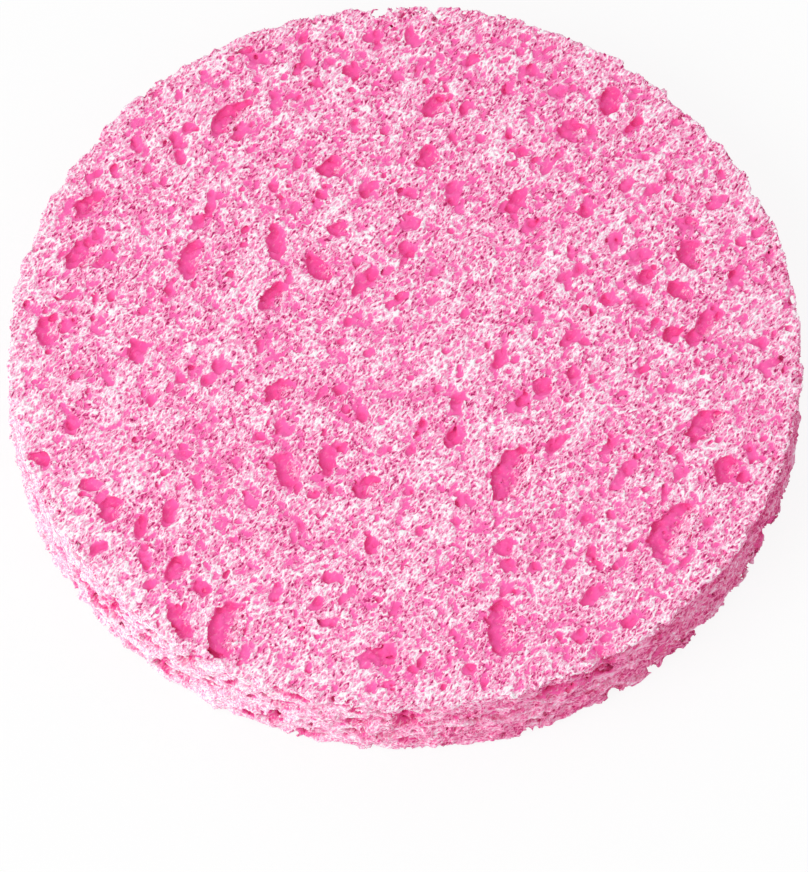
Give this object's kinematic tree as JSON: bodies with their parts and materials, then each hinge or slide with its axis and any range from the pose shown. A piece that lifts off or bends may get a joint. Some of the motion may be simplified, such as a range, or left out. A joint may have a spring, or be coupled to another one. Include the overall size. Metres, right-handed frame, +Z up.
{
  "type": "cellulose facial sponge",
  "caption": "Round flat facial sponge, die-cut from pink open-pored cellulose foam, for washing the face and taking off make-up.",
  "frame": {"origin": "middle of the underside, on the surface that the sponge lies on", "axes": "+Z up through the thickness, towards the pictured face; +X to the right and +Y away from the viewer of the picture"},
  "size_m": [0.08, 0.08, 0.01],
  "materials": {
    "cellulose_foam": "matte, open-pored pink cellulose foam, pale on the cut cell edges and saturated in the hollows"
  },
  "bodies": {
    "root": {"sponge_disc": "cellulose_foam"}
  },
  "joints": []
}
